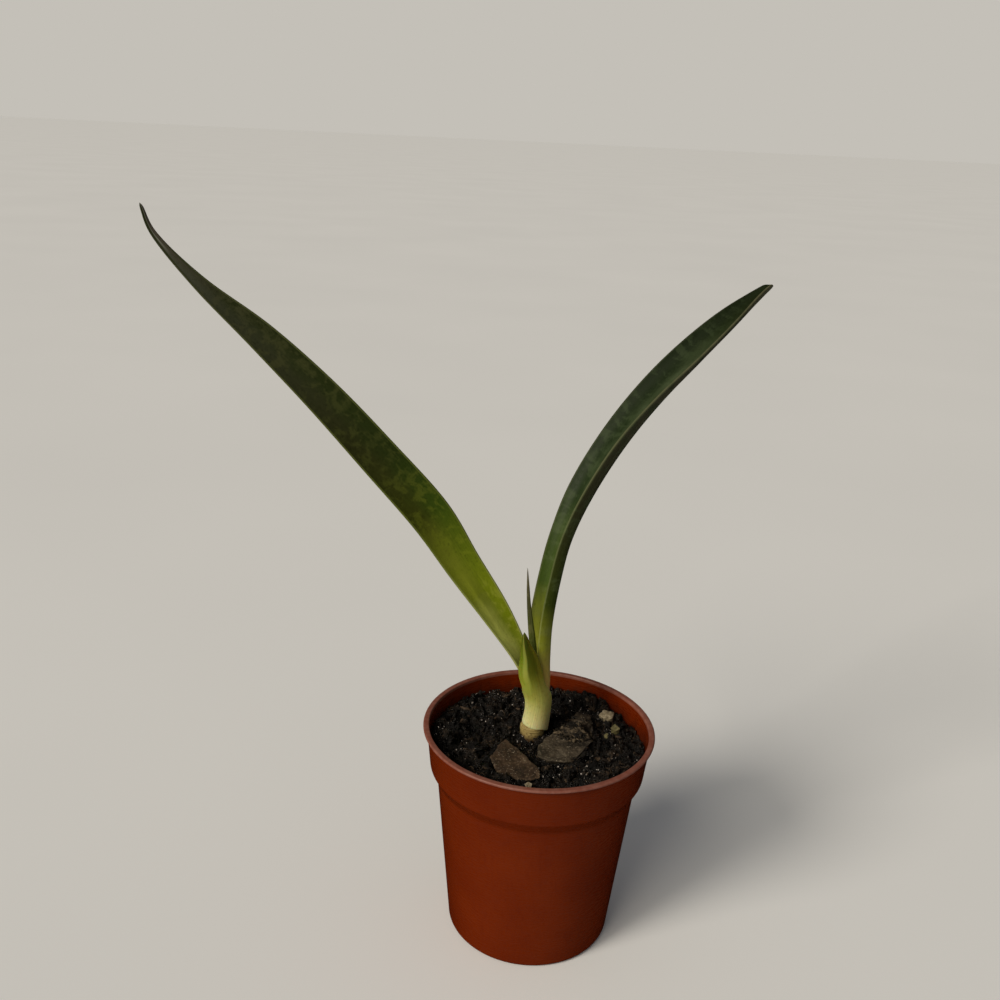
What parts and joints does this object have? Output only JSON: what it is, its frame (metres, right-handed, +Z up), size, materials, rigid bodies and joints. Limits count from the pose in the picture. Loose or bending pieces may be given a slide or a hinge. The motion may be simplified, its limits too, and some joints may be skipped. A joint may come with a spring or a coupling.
{
  "type": "potted snake plant",
  "caption": "Young snake plant with long mottled succulent leaves, a short sheath leaf and a rolled new leaf, rooted in potting soil in a small round plastic nursery pot.",
  "frame": {"origin": "centre of the pot's flat underside, where it rests", "axes": "+Z up through the pot's axis; -Y is the side that the picture shows, with +X to its right"},
  "size_m": [0.1528, 0.0713, 0.1836],
  "materials": {
    "pot_plastic": "satin, injection moulded",
    "potting_soil": "rough, moist crumbs",
    "rhizome": "matt, papery",
    "right_leaf": "smooth, waxy sheen",
    "left_leaf": "smooth, waxy sheen",
    "sheath_leaf": "smooth, satin",
    "new_leaf": "satin",
    "slate": "rough, dusty",
    "bark": "rough",
    "chip": "rough, fibrous"
  },
  "bodies": {
    "root": {"pot": "pot_plastic", "soil": "potting_soil", "rhizome": "rhizome", "right_leaf": "right_leaf", "left_leaf": "left_leaf", "sheath_leaf": "sheath_leaf", "new_leaf": "new_leaf", "stone_left": "slate", "stone_right": "slate", "bark_piece": "bark", "chip_pale": "chip", "chip_tan": "chip", "chip_small": "chip", "pebble_front": "chip"}
  },
  "joints": []
}
